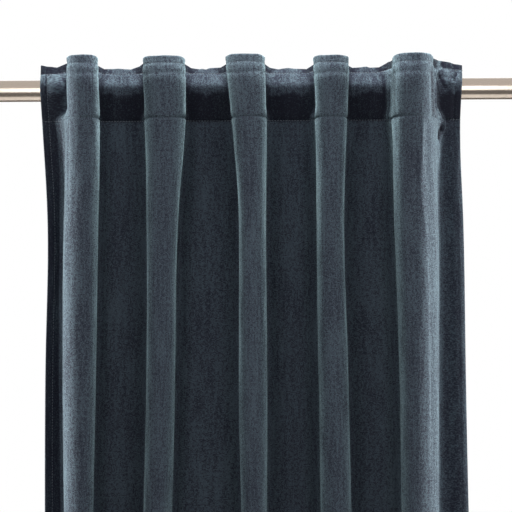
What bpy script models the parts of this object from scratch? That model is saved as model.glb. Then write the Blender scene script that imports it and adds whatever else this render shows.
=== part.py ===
"""A velvet curtain with hidden back tabs, hanging in five deep columns from a round steel rod.

The rod's axis lies along X through the origin. The cloth's face looks along -Y, and it hangs down -Z.
The curtain is one sheet, worked out row by row: each row is a plan of the cloth at one distance below
its top edge, drawn as a smooth line through a few guide points for each column of cloth.
"""

import bmesh
import bpy
import numpy as np
from mathutils import Vector

ROD_DIAMETER = 0.028
ROD_LENGTH = 0.76
ROD_RIM = 0.0006
ROD_SIDES = 48

DROP = 2.40
HEADING = 0.078
FRILL = 0.009
HEADING_RISE = 0.038
BOTTOM_HEM = 0.10
SIDE_HEM = 0.010
CLOTH_THICK = 0.002
HEM_THICK = 0.003
STEP_WIDTH = 0.002
GAP = 0.0003

TAB_WIDTH = 0.040
TAB_THICK = 0.002
TAB_SEAM = 0.0040
TAB_SLACK = 0.0008
TAB_STEPS = 24

# A back tab's way round the rod, top to bottom: degrees above the level back of the rod, and how far
# the tab stands off its surface there.
TAB_TURNS = ((78, 0.0030), (52, 0.0012), (25, 0.0004), (0, 0.0002), (-28, 0.0003), (-62, 0.0060))

# Heights, as distances below the top edge, at which the tables give the folds and the side edges.
LEVELS = {"top": 0.0, "seam": HEADING, "shoulder": 0.18, "mid": 0.36, "low": 0.575, "hem": DROP}

# One row for each column of cloth, left to right: the middle of its round front and the front's width
# at five heights.
FRONT_COLUMNS = (
    "x_top", "w_top", "x_seam", "w_seam", "x_shoulder", "w_shoulder", "x_mid", "w_mid", "x_low", "w_low",
)
FRONT_ROWS = (
    (-0.2180, 0.0370, -0.2168, 0.0375, -0.2200, 0.0395, -0.2244, 0.0396, -0.2271, 0.0328),
    (-0.1155, 0.0522, -0.1138, 0.0485, -0.1175, 0.0390, -0.1208, 0.0335, -0.1268, 0.0320),
    (-0.0126, 0.0474, -0.0081, 0.0395, -0.0049, 0.0315, -0.0045, 0.0322, -0.0030, 0.0285),
    (0.0963, 0.0438, 0.0967, 0.0360, 0.0947, 0.0310, 0.0966, 0.0330, 0.1000, 0.0350),
    (0.2000, 0.0452, 0.2008, 0.0450, 0.2030, 0.0495, 0.2068, 0.0460, 0.2082, 0.0420),
)

# One row for each column: how far its two feet stand out past its front within the heading, at the
# seam and low down, how deep the column is at the seam, how far the cloth at its feet has let go of
# the rod, how far its frill stands up past the top edge, and how far the right of its front is
# turned back.
# Less of the last foot's freedom reaches the cloth half way to the right side hem, less the hem, and
# least the right edge.
FOOT_COLUMNS = (
    "head_left", "head_right", "flare_left", "flare_right", "low_left", "low_right",
    "depth", "free_left", "free_right", "rise", "slant",
)
FOOT_ROWS = (
    (-0.003, -0.006, 0.0165, -0.003, 0.005, -0.003, 0.095, 0.40, 0.00, 0.0018, -0.005),
    (-0.003, -0.004, 0.0055, -0.001, 0.001, -0.001, 0.092, 0.00, 0.00, 0.0006, -0.001),
    (-0.003, -0.003, 0.0000, 0.0035, 0.000, 0.000, 0.106, 0.00, 0.00, 0.0012, 0.001),
    (-0.003, -0.003, 0.0050, 0.001, 0.001, 0.001, 0.090, 0.00, 0.00, 0.0003, -0.001),
    (0.006, 0.008, 0.0090, 0.016, 0.001, 0.006, 0.099, 0.10, 0.80, 0.0019, 0.008),
)
END_FREE = {"halfway": 0.78, "hem": 0.56, "edge": 0.35}
FOLD_COLUMNS = FRONT_COLUMNS + FOOT_COLUMNS
FOLDS = [dict(zip(FOLD_COLUMNS, front + foot)) for front, foot in zip(FRONT_ROWS, FOOT_ROWS)]

# The two side edges at the same heights.
EDGES = {
    "left": {"top": -0.2770, "seam": -0.2750, "shoulder": -0.2690, "mid": -0.2716, "low": -0.2748},
    "right": {"top": 0.2682, "seam": 0.2645, "shoulder": 0.2677, "mid": 0.2711, "low": 0.2747},
}

# At the floor the folds have spread a little and their fronts are wider. Below the heading the left
# edge curls towards the room.
HEM_SPREAD = 1.07
HEM_WIDEN = 1.45
EDGE_CURL = 0.008
CURL_DROP = 0.12

# The heading between two columns wraps over the rod: for each distance below the top edge, where the
# cloth's face stands in front of the rod's axis (y) and above it (z).
WRAP = np.array((
    # below   y        z
    (0.0000, 0.0025, 0.0267),
    (0.0090, -0.0045, 0.0212),
    (0.0225, -0.0136, 0.0116),
    (0.0320, -0.0176, 0.0038),
    (0.0410, -0.0174, -0.0034),
    (0.0580, -0.0125, -0.0201),
    (HEADING, -0.0070, HEADING_RISE - HEADING),
))
SWING_BACK = 0.028
SWING_LENGTH = 0.45

# How far the frill above the upper stitch line stands up past the wrap: one row for each stretch of
# cloth that follows the rod, left to right. Feet and turns are those of the columns beside it. In the
# first row left is the side edge and middle its hem, and in the last row right and middle are.
FRILL_COLUMNS = ("left_foot", "left_turn", "left", "middle", "right", "right_turn", "right_foot")
FRILL_ROWS = (
    (0.0000, 0.0000, 0.0072, 0.0055, 0.0044, 0.0048, 0.0050),
    (0.0025, 0.0022, 0.0021, 0.0024, 0.0011, 0.0050, 0.0080),
    (0.0040, 0.0030, 0.0017, 0.0012, 0.0030, 0.0032, 0.0040),
    (0.0050, 0.0030, 0.0010, 0.0020, 0.0012, 0.0007, 0.0020),
    (0.0020, 0.0022, 0.0030, 0.0036, 0.0025, 0.0012, 0.0032),
    (0.0057, 0.0018, 0.0020, 0.0016, 0.0017, 0.0000, 0.0000),
)
FRILLS = [dict(zip(FRILL_COLUMNS, row)) for row in FRILL_ROWS]

# How far each place round a column has let go of the rod, from 0 between the columns to 1 at its
# front. It sets the height of the top edge there.
LIFT = {"foot": 0.45, "wall": 0.68, "shoulder": 0.87, "turn": 0.98, "front": 1.0}
FRONT_TURNS = ((0, "shoulder"), (45, "turn"), (90, "front"), (135, "turn"), (180, "shoulder"))
FRONT_ROUND = 0.46
FRONT_FOLLOWS = 0.6

# The radius of the turn at a column's feet, which is wider at the top edge, how far above the seam
# the feet start to move out, how soon they settle below it, and how soon a front takes its slant.
CORNER = 0.006
CORNER_TOP = 0.011
CORNER_DROP = 0.03
FLARE_RISE = 0.020
FLARE_DROP = 0.060
SLANT_DROP = 0.10

# Between the columns the cloth bows towards the room below the heading, and away from it at the hem.
BOW = 0.005
BOW_DROP = 0.08
BELLY = 0.016
BELLY_FROM = 0.6
BELLY_DROP = 1.6

STATIONS_PER_GUIDE = 1.35
ROWS_HEADING = (0.0, FRILL, 0.0165, 0.0245, 0.0320, 0.0400, 0.0520, 0.0650, HEADING)
ROWS_PANEL = (0.100, 0.140, 0.200, 0.300, 0.430, 0.575, 0.850, 1.200, 1.550, 1.900)


def spline(knots, values, at):
    """A natural cubic spline through rows of values at the knots, read at the given places."""
    knots = np.asarray(knots, float)
    values = np.asarray(values, float).reshape(len(knots), -1)
    at = np.asarray(at, float)
    count = len(knots)
    step = np.diff(knots)
    slope = np.diff(values, axis=0) / step[:, None]
    matrix = np.eye(count)
    bend = np.zeros_like(values)
    for i in range(1, count - 1):
        matrix[i, i - 1 : i + 2] = step[i - 1], 2 * (step[i - 1] + step[i]), step[i]
        bend[i] = 6 * (slope[i] - slope[i - 1])
    bend = np.linalg.solve(matrix, bend)
    i = np.clip(np.searchsorted(knots, at) - 1, 0, count - 2)
    left = (at - knots[i])[:, None]
    right = (knots[i + 1] - at)[:, None]
    width = step[i][:, None]
    cubic = (bend[i] * right**3 + bend[i + 1] * left**3) / (6 * width)
    start = (values[i] / width - bend[i] * width / 6) * right
    end = (values[i + 1] / width - bend[i + 1] * width / 6) * left
    return cubic + start + end


def chord_knots(points):
    """The distance along a chain of points, from its first point to each of them."""
    return np.concatenate([[0.0], np.cumsum(np.linalg.norm(np.diff(points, axis=0), axis=1))])


def smooth_step(value):
    value = np.clip(value, 0, 1)
    return value * value * (3 - 2 * value)


def eased(values, knots, at):
    """Values between the knots on lines that are level at each knot."""
    i = np.clip(np.searchsorted(knots, at, side="right") - 1, 0, len(knots) - 2)
    share = smooth_step((at - knots[i]) / (knots[i + 1] - knots[i]))
    return values[i] * (1 - share) + values[i + 1] * share


def at_height(row, below):
    """A table row's value at a distance below the top edge, eased between the table's heights."""
    found = spline([LEVELS[name] for name in row], list(row.values()), [below])
    return float(found[0, 0])


def front_at(fold, below):
    """The middle and the width of a fold's front at this height."""
    middle = {name: fold["x_" + name] for name in LEVELS if name != "hem"}
    width = {name: fold["w_" + name] for name in middle}
    middle["hem"] = fold["x_low"] * HEM_SPREAD
    width["hem"] = fold["w_low"] * HEM_WIDEN
    return at_height(middle, below), at_height(width, below)


def edge_at(side, below):
    row = dict(EDGES[side])
    row["hem"] = row["low"] * HEM_SPREAD
    return at_height(row, below)


def feet_at(fold, below):
    """The left and right foot of a fold, where its walls turn into the cloth beside it."""
    middle, width = front_at(fold, below)
    flared = smooth_step((below - HEADING + FLARE_RISE) / FLARE_RISE)
    settled = 1 - np.exp(-max(below - HEADING, 0) / FLARE_DROP)

    def stand(side):
        above = fold["head_" + side] * (1 - flared) + fold["flare_" + side] * flared
        return above * (1 - settled) + fold["low_" + side] * settled

    return middle - width / 2 - stand("left"), middle + width / 2 + stand("right")


def stretches_at(below):
    """The left and right end of each stretch of cloth beside and between the folds."""
    ends = [edge_at("left", below)]
    for fold in FOLDS:
        ends.extend(feet_at(fold, below))
    ends.append(edge_at("right", below))
    return list(zip(ends[0::2], ends[1::2]))


def cloth_spent(index, below):
    """The cloth that a fold needs for its share of the stretches beside it and its round front."""
    stretches = stretches_at(below)
    before, after = stretches[index], stretches[index + 1]
    share_before = 1.0 if index == 0 else 0.5
    share_after = 1.0 if index == len(FOLDS) - 1 else 0.5
    flat = share_before * (before[1] - before[0]) + share_after * (after[1] - after[0])
    half_circle_extra = np.pi / 2 - 1
    return flat + half_circle_extra * front_at(FOLDS[index], below)[1]


def depth_at(index, below):
    """A fold's depth at this height: below the heading it holds the same cloth at every height."""
    if below <= HEADING:
        return FOLDS[index]["depth"]
    return FOLDS[index]["depth"] - (cloth_spent(index, below) - cloth_spent(index, HEADING)) / 2


def hang_line(below):
    """Where the cloth between folds stands at this distance down: its y and its z."""
    if below < HEADING:
        return spline(WRAP[:, 0], WRAP[:, 1:], [below])[0]
    swing = 1 - np.exp(-(below - HEADING) / SWING_LENGTH)
    return np.array([WRAP[-1, 1] + SWING_BACK * swing, HEADING_RISE - below])


def corner_at(below):
    return CORNER_TOP + (CORNER - CORNER_TOP) * smooth_step(below / CORNER_DROP)


def bow_at(below):
    belly = BELLY * smooth_step((below - BELLY_FROM) / BELLY_DROP)
    return BOW * smooth_step((below - HEADING) / BOW_DROP) - belly


def fold_guides(index, below):
    """The guide points round one column of cloth, as rows of x, y, lift and frill."""
    fold = FOLDS[index]
    base = hang_line(below)[0]
    seam_base = WRAP[-1, 1]
    follow = 1.0 if below > HEADING else FRONT_FOLLOWS
    front = seam_base + follow * (base - seam_base) - depth_at(index, below)
    middle, width = front_at(fold, below)
    shoulder = front + FRONT_ROUND * width
    slant = fold["slant"] * smooth_step((below - HEADING) / SLANT_DROP)
    corner = corner_at(below)

    def wall_guides(foot, side, free, frill_turn, frill_foot):
        """From the cloth beside the fold, round the corner at its foot, to half way up its wall."""
        half_way_x = (foot + middle + side * width / 2) / 2
        half_way_y = (base - corner + shoulder) / 2
        foot_lift = LIFT["foot"] + (LIFT["wall"] - LIFT["foot"]) * free
        return [
            (foot + side * corner, base, free, frill_turn),
            (foot, base - corner, foot_lift, frill_foot),
            (half_way_x, half_way_y, LIFT["wall"], fold["rise"]),
        ]

    left_foot, right_foot = feet_at(fold, below)
    before, after = FRILLS[index], FRILLS[index + 1]
    guides = wall_guides(left_foot, -1, fold["free_left"], before["right_turn"], before["right_foot"])
    for degrees, place in FRONT_TURNS:
        turn = np.radians(degrees)
        x = middle - width / 2 * np.cos(turn)
        y = shoulder - FRONT_ROUND * width * np.sin(turn) - slant * np.cos(turn)
        guides.append((x, y, LIFT[place], fold["rise"]))
    wall = wall_guides(right_foot, 1, fold["free_right"], after["left_turn"], after["left_foot"])
    guides.extend(reversed(wall))
    return guides


def stretch_guides(number, below):
    """The guide points across one stretch of cloth beside or between the folds."""
    base = hang_line(below)[0]
    bow = bow_at(below)
    corner = corner_at(below)
    left, right = stretches_at(below)[number]
    frill_left, frill_middle, frill_right = (FRILLS[number][place] for place in ("left", "middle", "right"))
    if number == 0:
        curl = EDGE_CURL * smooth_step((below - HEADING) / CURL_DROP)
        hem = left + SIDE_HEM
        return [
            (left, base - curl, 0.0, frill_left),
            (hem, base - curl / 2, 0.0, frill_middle),
            ((hem + right - corner) / 2, base - curl / 6, 0.0, frill_right),
        ]
    if number == len(FOLDS):
        free = FOLDS[-1]["free_right"]
        hem = right - SIDE_HEM
        return [
            ((left + corner + hem) / 2, base, free * END_FREE["halfway"], frill_left),
            (hem, base - bow / 2, free * END_FREE["hem"], frill_middle),
            (right, base, free * END_FREE["edge"], frill_right),
        ]
    return [
        (left + 2 * corner, base - bow / 2, 0.0, frill_left),
        ((left + right) / 2, base - bow, 0.0, frill_middle),
        (right - 2 * corner, base - bow / 2, 0.0, frill_right),
    ]


def guides_at(below):
    """All the guide points of the plan at this height, from the left edge to the right one."""
    guides = stretch_guides(0, below)
    for index in range(len(FOLDS)):
        guides.extend(fold_guides(index, below))
        guides.extend(stretch_guides(index + 1, below))
    return np.array(guides)


def sheet_row(below, stations):
    """The cloth's face at this distance below the top edge, as x, y, z at each station across."""
    guides = guides_at(below)
    knots = chord_knots(guides[:, :2])
    places = np.interp(stations, np.arange(len(guides)), knots)
    plan = spline(knots, guides[:, :2], places)
    base, low = hang_line(below)
    furthest_back = base + abs(bow_at(below))
    plan[:, 1] = np.minimum(plan[:, 1], furthest_back)
    high = HEADING_RISE - below
    lift = np.interp(places, knots, guides[:, 2])
    frill = eased(guides[:, 3], knots, places) * (1 - smooth_step(below / FRILL))
    return np.column_stack([plan, low + (high - low) * lift + frill])


def material(name, colour, roughness, metallic=0.0, sheen=0.0):
    made = bpy.data.materials.new(name)
    made.use_nodes = True
    shader = made.node_tree.nodes["Principled BSDF"]
    shader.inputs["Base Color"].default_value = (*colour, 1.0)
    shader.inputs["Roughness"].default_value = roughness
    shader.inputs["Metallic"].default_value = metallic
    shader.inputs["Sheen Weight"].default_value = sheen
    return made


def add_object(name, mesh, finish, collection):
    mesh.materials.append(finish)
    made = bpy.data.objects.new(name, mesh)
    collection.objects.link(made)
    return made


def cloth_mesh(name, columns, rows, place, weight=None):
    """A grid of columns by rows points, each put where place says, with its share of full thickness."""
    shape = bmesh.new()
    bmesh.ops.create_grid(shape, x_segments=columns - 1, y_segments=rows - 1, size=1)
    groups = shape.verts.layers.deform.verify()
    for vertex in shape.verts:
        column = round((vertex.co.x + 1) / 2 * (columns - 1))
        row = round((1 - vertex.co.y) / 2 * (rows - 1))
        vertex.co = Vector(place(column, row))
        if weight:
            vertex[groups][0] = weight(column, row)
    mesh = bpy.data.meshes.new(name)
    shape.to_mesh(mesh)
    shape.free()
    mesh.shade_smooth()
    return mesh


def build_curtain(finish, collection):
    """The whole curtain in one sheet, doubled at its heading, its side hems and its bottom hem."""
    last_guide = len(guides_at(0.0)) - 1
    stations = np.linspace(0, last_guide, round(last_guide * STATIONS_PER_GUIDE) + 1)
    hem_line = DROP - BOTTOM_HEM
    heights = [*ROWS_HEADING, HEADING + STEP_WIDTH, *ROWS_PANEL, hem_line - STEP_WIDTH, hem_line, DROP]
    rows = [sheet_row(below, stations) for below in heights]

    def share_of_thickness(column, row):
        in_side_hem = stations[column] <= 1 or stations[column] >= last_guide - 1
        in_heading = heights[row] <= HEADING
        in_bottom_hem = heights[row] >= hem_line
        doubled = in_side_hem or in_heading or in_bottom_hem
        return 1.0 if doubled else CLOTH_THICK / HEM_THICK

    mesh = cloth_mesh(
        "curtain_panel", len(stations), len(heights), lambda c, r: rows[r][c], share_of_thickness
    )
    curtain = add_object("curtain_panel", mesh, finish, collection)
    thick = curtain.vertex_groups.new(name="share of thickness")
    shell = curtain.modifiers.new("cloth", "SOLIDIFY")
    shell.thickness = HEM_THICK
    shell.offset = -1.0
    shell.vertex_group = thick.name
    return curtain


def tab_path():
    """A back tab's middle line, as y and z, from the upper stitch line round the rod to the seam."""
    standoff = HEM_THICK + GAP + TAB_THICK / 2
    reach = ROD_DIAMETER / 2 + GAP + TAB_THICK / 2

    def behind_cloth(below):
        above, under = hang_line(below - STEP_WIDTH / 2), hang_line(below + STEP_WIDTH / 2)
        down = (under - above) / np.linalg.norm(under - above)
        return hang_line(below) + standoff * np.array([-down[1], down[0]])

    def round_rod(degrees, clear):
        turn = np.radians(degrees)
        return (reach + clear) * np.array([np.cos(turn), np.sin(turn)])

    guides = [
        behind_cloth(FRILL + TAB_SEAM),
        behind_cloth(FRILL + TAB_SEAM / 4),
        *(round_rod(degrees, clear) for degrees, clear in TAB_TURNS),
        behind_cloth(HEADING - TAB_SEAM) + np.array([TAB_SLACK, 0.0]),
        behind_cloth(HEADING - STEP_WIDTH),
    ]
    knots = chord_knots(guides)
    return spline(knots, guides, np.linspace(0, knots[-1], TAB_STEPS + 1))


def tab_centres():
    """The middle of each stretch of cloth that follows the rod, or just inside a side edge."""
    stretches = stretches_at(HEADING / 2)
    centres = [(left + right) / 2 for left, right in stretches]
    from_edge = STEP_WIDTH + TAB_WIDTH / 2
    centres[0] = stretches[0][0] + from_edge
    centres[-1] = stretches[-1][1] - from_edge
    return centres


def build_tab(name, centre, finish, collection):
    """A strip of the same cloth behind the heading, which holds the rod against it."""
    path = tab_path()

    def place(column, row):
        y, z = path[row]
        return centre + (column - 0.5) * TAB_WIDTH, y, z

    tab = add_object(name, cloth_mesh(name, 2, len(path), place), finish, collection)
    shell = tab.modifiers.new("strip", "SOLIDIFY")
    shell.thickness = TAB_THICK
    shell.offset = 0.0
    return tab


def build_rod(finish, collection):
    """A plain round bar, turned to lie along X, with lightly rounded rims."""
    shape = bmesh.new()
    radius = ROD_DIAMETER / 2
    bmesh.ops.create_cone(
        shape, cap_ends=True, segments=ROD_SIDES, radius1=radius, radius2=radius, depth=ROD_LENGTH
    )
    mesh = bpy.data.meshes.new("rod")
    shape.to_mesh(mesh)
    shape.free()
    mesh.shade_smooth()
    mesh.set_sharp_from_angle(angle=np.radians(30))
    rod = add_object("rod", mesh, finish, collection)
    rod.rotation_euler = (0, np.pi / 2, 0)
    rim = rod.modifiers.new("rim", "BEVEL")
    rim.width = ROD_RIM
    rim.segments = 2
    rim.limit_method = "ANGLE"
    return rod


def main():
    for old in list(bpy.data.objects):
        bpy.data.objects.remove(old)
    collection = bpy.data.collections.new("curtain on a rod")
    bpy.context.scene.collection.children.link(collection)
    velvet = material("slate velvet", (0.045, 0.058, 0.075), 0.85, sheen=0.8)
    steel = material("satin steel", (0.72, 0.68, 0.62), 0.28, metallic=1.0)
    build_curtain(velvet, collection)
    for number, centre in enumerate(tab_centres(), start=1):
        build_tab(f"back_tab_{number}", centre, velvet, collection)
    build_rod(steel, collection)


main()
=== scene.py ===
# %% [markdown]
# # A velvet curtain on its rod
# The real thing is one panel of slate blue velvet with hidden tabs behind its heading. The tabs hold a
# steel rod against the cloth in six places, and between them the cloth falls in five deep columns.
# This lesson dresses a plain solid model of it: the model gives the sizes and the place of every piece,
# and each plain solid is replaced by a finer piece of the same form.

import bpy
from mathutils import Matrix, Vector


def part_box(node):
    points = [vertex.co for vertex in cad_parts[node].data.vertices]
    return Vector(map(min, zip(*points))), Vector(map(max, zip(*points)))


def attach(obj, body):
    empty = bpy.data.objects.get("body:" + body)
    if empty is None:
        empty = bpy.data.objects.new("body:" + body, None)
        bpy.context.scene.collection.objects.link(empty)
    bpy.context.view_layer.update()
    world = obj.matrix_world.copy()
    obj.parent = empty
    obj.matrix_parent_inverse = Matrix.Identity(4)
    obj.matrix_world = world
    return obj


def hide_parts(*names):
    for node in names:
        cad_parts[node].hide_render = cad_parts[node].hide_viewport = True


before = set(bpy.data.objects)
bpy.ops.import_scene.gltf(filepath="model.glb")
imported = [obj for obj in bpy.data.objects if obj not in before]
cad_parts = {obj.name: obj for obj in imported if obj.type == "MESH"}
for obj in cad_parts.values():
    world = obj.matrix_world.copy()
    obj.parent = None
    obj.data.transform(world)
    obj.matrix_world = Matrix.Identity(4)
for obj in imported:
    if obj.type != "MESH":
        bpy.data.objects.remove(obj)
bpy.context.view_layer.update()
print("solid pieces:", sorted(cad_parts))

# %% Blender's modules
from math import cos, pi, radians, sin

import bpy
import numpy as np
from mathutils import Euler, Matrix, Vector

# %% [markdown]
# ## The camera
# The curtain is seen straight on, from far away and through a long lens, so its lines stay parallel.
# The camera stands level with a point a little below the rod and is rolled by a third of a degree,
# because the rod runs slightly uphill in the picture. It could also be shifted instead of lowered,
# but a lowered camera keeps the same view when it is moved round the object.

# %% Camera
CAMERA_PLACE = (0.0, -3.206, -0.2145)
CAMERA_LENS = 174.45
CAMERA_SENSOR = 36.0
CAMERA_ROLL = radians(-0.31)


def add_camera():
    view = bpy.data.cameras.new("camera")
    view.lens = CAMERA_LENS
    view.sensor_width = CAMERA_SENSOR
    camera = bpy.data.objects.new("camera", view)
    bpy.context.scene.collection.objects.link(camera)
    level = Euler((pi / 2, 0, 0)).to_matrix().to_4x4()
    camera.matrix_world = Matrix.Translation(CAMERA_PLACE) @ level @ Matrix.Rotation(CAMERA_ROLL, 4, "Z")
    bpy.context.scene.camera = camera
    return camera


camera = add_camera()
print("camera at", tuple(camera.location))

# %% [markdown]
# ## The sizes of the cloth
# These are the same driving sizes as in the solid model, in metres. The cloth is described the way a
# curtain maker would: how deep the heading and the hems are, where each column of cloth stands and how
# wide it is at several heights, and how the cloth between two columns wraps round the rod.

# %% Sizes
ROD_DIAMETER = 0.028
DROP = 2.40
HEADING = 0.078
FRILL = 0.009
HEADING_RISE = 0.038
BOTTOM_HEM = 0.10
SIDE_HEM = 0.010
SIDE_STITCH = 0.009
CLOTH_THICK = 0.002
HEM_THICK = 0.003
STEP_WIDTH = 0.002
GAP = 0.0003
TAB_WIDTH = 0.040
TAB_THICK = 0.002
TAB_SEAM = 0.0040
TAB_SLACK = 0.0008
TAB_TURNS = ((78, 0.0030), (52, 0.0012), (25, 0.0004), (0, 0.0002), (-28, 0.0003), (-62, 0.0060))

# Heights, as distances below the top edge, at which the tables give the folds and the side edges.
LEVELS = {"top": 0.0, "seam": HEADING, "shoulder": 0.18, "mid": 0.36, "low": 0.575, "hem": DROP}

# %% [markdown]
# ## The columns of cloth
# No two columns are alike: one stands out to the left, one is broad, the last has let go of the rod at
# its right. A short table with one row for each column keeps that, and everything else is worked out.

# %% Table of the columns
FRONT_COLUMNS = (
    "x_top", "w_top", "x_seam", "w_seam", "x_shoulder", "w_shoulder", "x_mid", "w_mid", "x_low", "w_low",
)
FRONT_ROWS = (
    (-0.2180, 0.0370, -0.2168, 0.0375, -0.2200, 0.0395, -0.2244, 0.0396, -0.2271, 0.0328),
    (-0.1155, 0.0522, -0.1138, 0.0485, -0.1175, 0.0390, -0.1208, 0.0335, -0.1268, 0.0320),
    (-0.0126, 0.0474, -0.0081, 0.0395, -0.0049, 0.0315, -0.0045, 0.0322, -0.0030, 0.0285),
    (0.0963, 0.0438, 0.0967, 0.0360, 0.0947, 0.0310, 0.0966, 0.0330, 0.1000, 0.0350),
    (0.2000, 0.0452, 0.2008, 0.0450, 0.2030, 0.0495, 0.2068, 0.0460, 0.2082, 0.0420),
)
FOOT_COLUMNS = (
    "head_left", "head_right", "flare_left", "flare_right", "low_left", "low_right",
    "depth", "free_left", "free_right", "rise", "slant",
)
FOOT_ROWS = (
    (-0.003, -0.006, 0.0165, -0.003, 0.005, -0.003, 0.095, 0.40, 0.00, 0.0018, -0.005),
    (-0.003, -0.004, 0.0055, -0.001, 0.001, -0.001, 0.092, 0.00, 0.00, 0.0006, -0.001),
    (-0.003, -0.003, 0.0000, 0.0035, 0.000, 0.000, 0.106, 0.00, 0.00, 0.0012, 0.001),
    (-0.003, -0.003, 0.0050, 0.001, 0.001, 0.001, 0.090, 0.00, 0.00, 0.0003, -0.001),
    (0.006, 0.008, 0.0090, 0.016, 0.001, 0.006, 0.099, 0.10, 0.80, 0.0019, 0.008),
)
END_FREE = {"halfway": 0.78, "hem": 0.56, "edge": 0.35}
FOLD_COLUMNS = FRONT_COLUMNS + FOOT_COLUMNS
FOLDS = [dict(zip(FOLD_COLUMNS, front + foot)) for front, foot in zip(FRONT_ROWS, FOOT_ROWS)]
EDGES = {
    "left": {"top": -0.2770, "seam": -0.2750, "shoulder": -0.2690, "mid": -0.2716, "low": -0.2748},
    "right": {"top": 0.2682, "seam": 0.2645, "shoulder": 0.2677, "mid": 0.2711, "low": 0.2747},
}
HEM_SPREAD = 1.07
HEM_WIDEN = 1.45
EDGE_CURL = 0.008
CURL_DROP = 0.12

# The heading between two columns wraps over the rod: for each distance below the top edge, where the
# cloth's face stands in front of the rod's axis (y) and above it (z).
WRAP = np.array((
    # below   y        z
    (0.0000, 0.0025, 0.0267),
    (0.0090, -0.0045, 0.0212),
    (0.0225, -0.0136, 0.0116),
    (0.0320, -0.0176, 0.0038),
    (0.0410, -0.0174, -0.0034),
    (0.0580, -0.0125, -0.0201),
    (HEADING, -0.0070, HEADING_RISE - HEADING),
))
SWING_BACK = 0.028
SWING_LENGTH = 0.45

# How far the frill above the upper stitch line stands up past the wrap, for each stretch of cloth
# that follows the rod.
FRILL_COLUMNS = ("left_foot", "left_turn", "left", "middle", "right", "right_turn", "right_foot")
FRILL_ROWS = (
    (0.0000, 0.0000, 0.0072, 0.0055, 0.0044, 0.0048, 0.0050),
    (0.0025, 0.0022, 0.0021, 0.0024, 0.0011, 0.0050, 0.0080),
    (0.0040, 0.0030, 0.0017, 0.0012, 0.0030, 0.0032, 0.0040),
    (0.0050, 0.0030, 0.0010, 0.0020, 0.0012, 0.0007, 0.0020),
    (0.0020, 0.0022, 0.0030, 0.0036, 0.0025, 0.0012, 0.0032),
    (0.0057, 0.0018, 0.0020, 0.0016, 0.0017, 0.0000, 0.0000),
)
FRILLS = [dict(zip(FRILL_COLUMNS, row)) for row in FRILL_ROWS]
LIFT = {"foot": 0.45, "wall": 0.68, "shoulder": 0.87, "turn": 0.98, "front": 1.0}
FRONT_TURNS = ((0, "shoulder"), (45, "turn"), (90, "front"), (135, "turn"), (180, "shoulder"))
FRONT_ROUND = 0.46
FRONT_FOLLOWS = 0.6
CORNER = 0.006
CORNER_TOP = 0.011
CORNER_DROP = 0.03
FLARE_RISE = 0.020
FLARE_DROP = 0.060
SLANT_DROP = 0.10
BOW = 0.005
BOW_DROP = 0.08
BELLY = 0.016
BELLY_FROM = 0.6
BELLY_DROP = 1.6
print("columns of cloth:", len(FOLDS))

# %% [markdown]
# ## Smooth lines
# A hanging cloth has no corners, so every line here is a natural cubic spline: the curve that a thin
# strip of steel takes when it is bent through the given points. Blender's own curves could do it, but
# a few lines of numpy give the same points in the plan, in the section and between the heights.

# %% Splines


def spline(knots, values, at):
    """A natural cubic spline through rows of values at the knots, read at the given places."""
    knots = np.asarray(knots, float)
    values = np.asarray(values, float).reshape(len(knots), -1)
    at = np.asarray(at, float)
    count = len(knots)
    step = np.diff(knots)
    slope = np.diff(values, axis=0) / step[:, None]
    matrix = np.eye(count)
    bend = np.zeros_like(values)
    for i in range(1, count - 1):
        matrix[i, i - 1 : i + 2] = step[i - 1], 2 * (step[i - 1] + step[i]), step[i]
        bend[i] = 6 * (slope[i] - slope[i - 1])
    bend = np.linalg.solve(matrix, bend)
    i = np.clip(np.searchsorted(knots, at) - 1, 0, count - 2)
    left = (at - knots[i])[:, None]
    right = (knots[i + 1] - at)[:, None]
    width = step[i][:, None]
    cubic = (bend[i] * right**3 + bend[i + 1] * left**3) / (6 * width)
    start = (values[i] / width - bend[i] * width / 6) * right
    end = (values[i + 1] / width - bend[i + 1] * width / 6) * left
    return cubic + start + end


def chord_knots(points):
    """The distance along a chain of points, from its first point to each of them."""
    return np.concatenate([[0.0], np.cumsum(np.linalg.norm(np.diff(points, axis=0), axis=1))])


def smooth_step(value):
    value = np.clip(value, 0, 1)
    return value * value * (3 - 2 * value)


def window(value, low, high, fade):
    """One between low and high and zero outside, with a soft edge of this width inside each."""
    return smooth_step((value - low) / fade) * smooth_step((high - value) / fade)


def eased(values, knots, at):
    """Values between the knots on lines that are level at each knot."""
    i = np.clip(np.searchsorted(knots, at, side="right") - 1, 0, len(knots) - 2)
    share = smooth_step((at - knots[i]) / (knots[i + 1] - knots[i]))
    return values[i] * (1 - share) + values[i + 1] * share


def at_height(row, below):
    """A table row's value at a distance below the top edge, eased between the table's heights."""
    found = spline([LEVELS[name] for name in row], list(row.values()), [below])
    return float(found[0, 0])


print("half way up a curve through 0, 1, 0:", spline([0, 1, 2], [0, 1, 0], [0.5])[0, 0])

# %% [markdown]
# ## The plan of the cloth at one height
# Seen from above, the cloth runs straight behind the rod's face, turns out into a column, goes round its
# front and comes back. The depth of a column follows from the cloth it holds: where a column narrows,
# it gets deeper, because the length of cloth in it stays the same all the way down.

# %% Folds, edges and depths


def front_at(fold, below):
    """The middle and the width of a fold's front at this height."""
    middle = {name: fold["x_" + name] for name in LEVELS if name != "hem"}
    width = {name: fold["w_" + name] for name in middle}
    middle["hem"] = fold["x_low"] * HEM_SPREAD
    width["hem"] = fold["w_low"] * HEM_WIDEN
    return at_height(middle, below), at_height(width, below)


def edge_at(side, below):
    row = dict(EDGES[side])
    row["hem"] = row["low"] * HEM_SPREAD
    return at_height(row, below)


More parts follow.
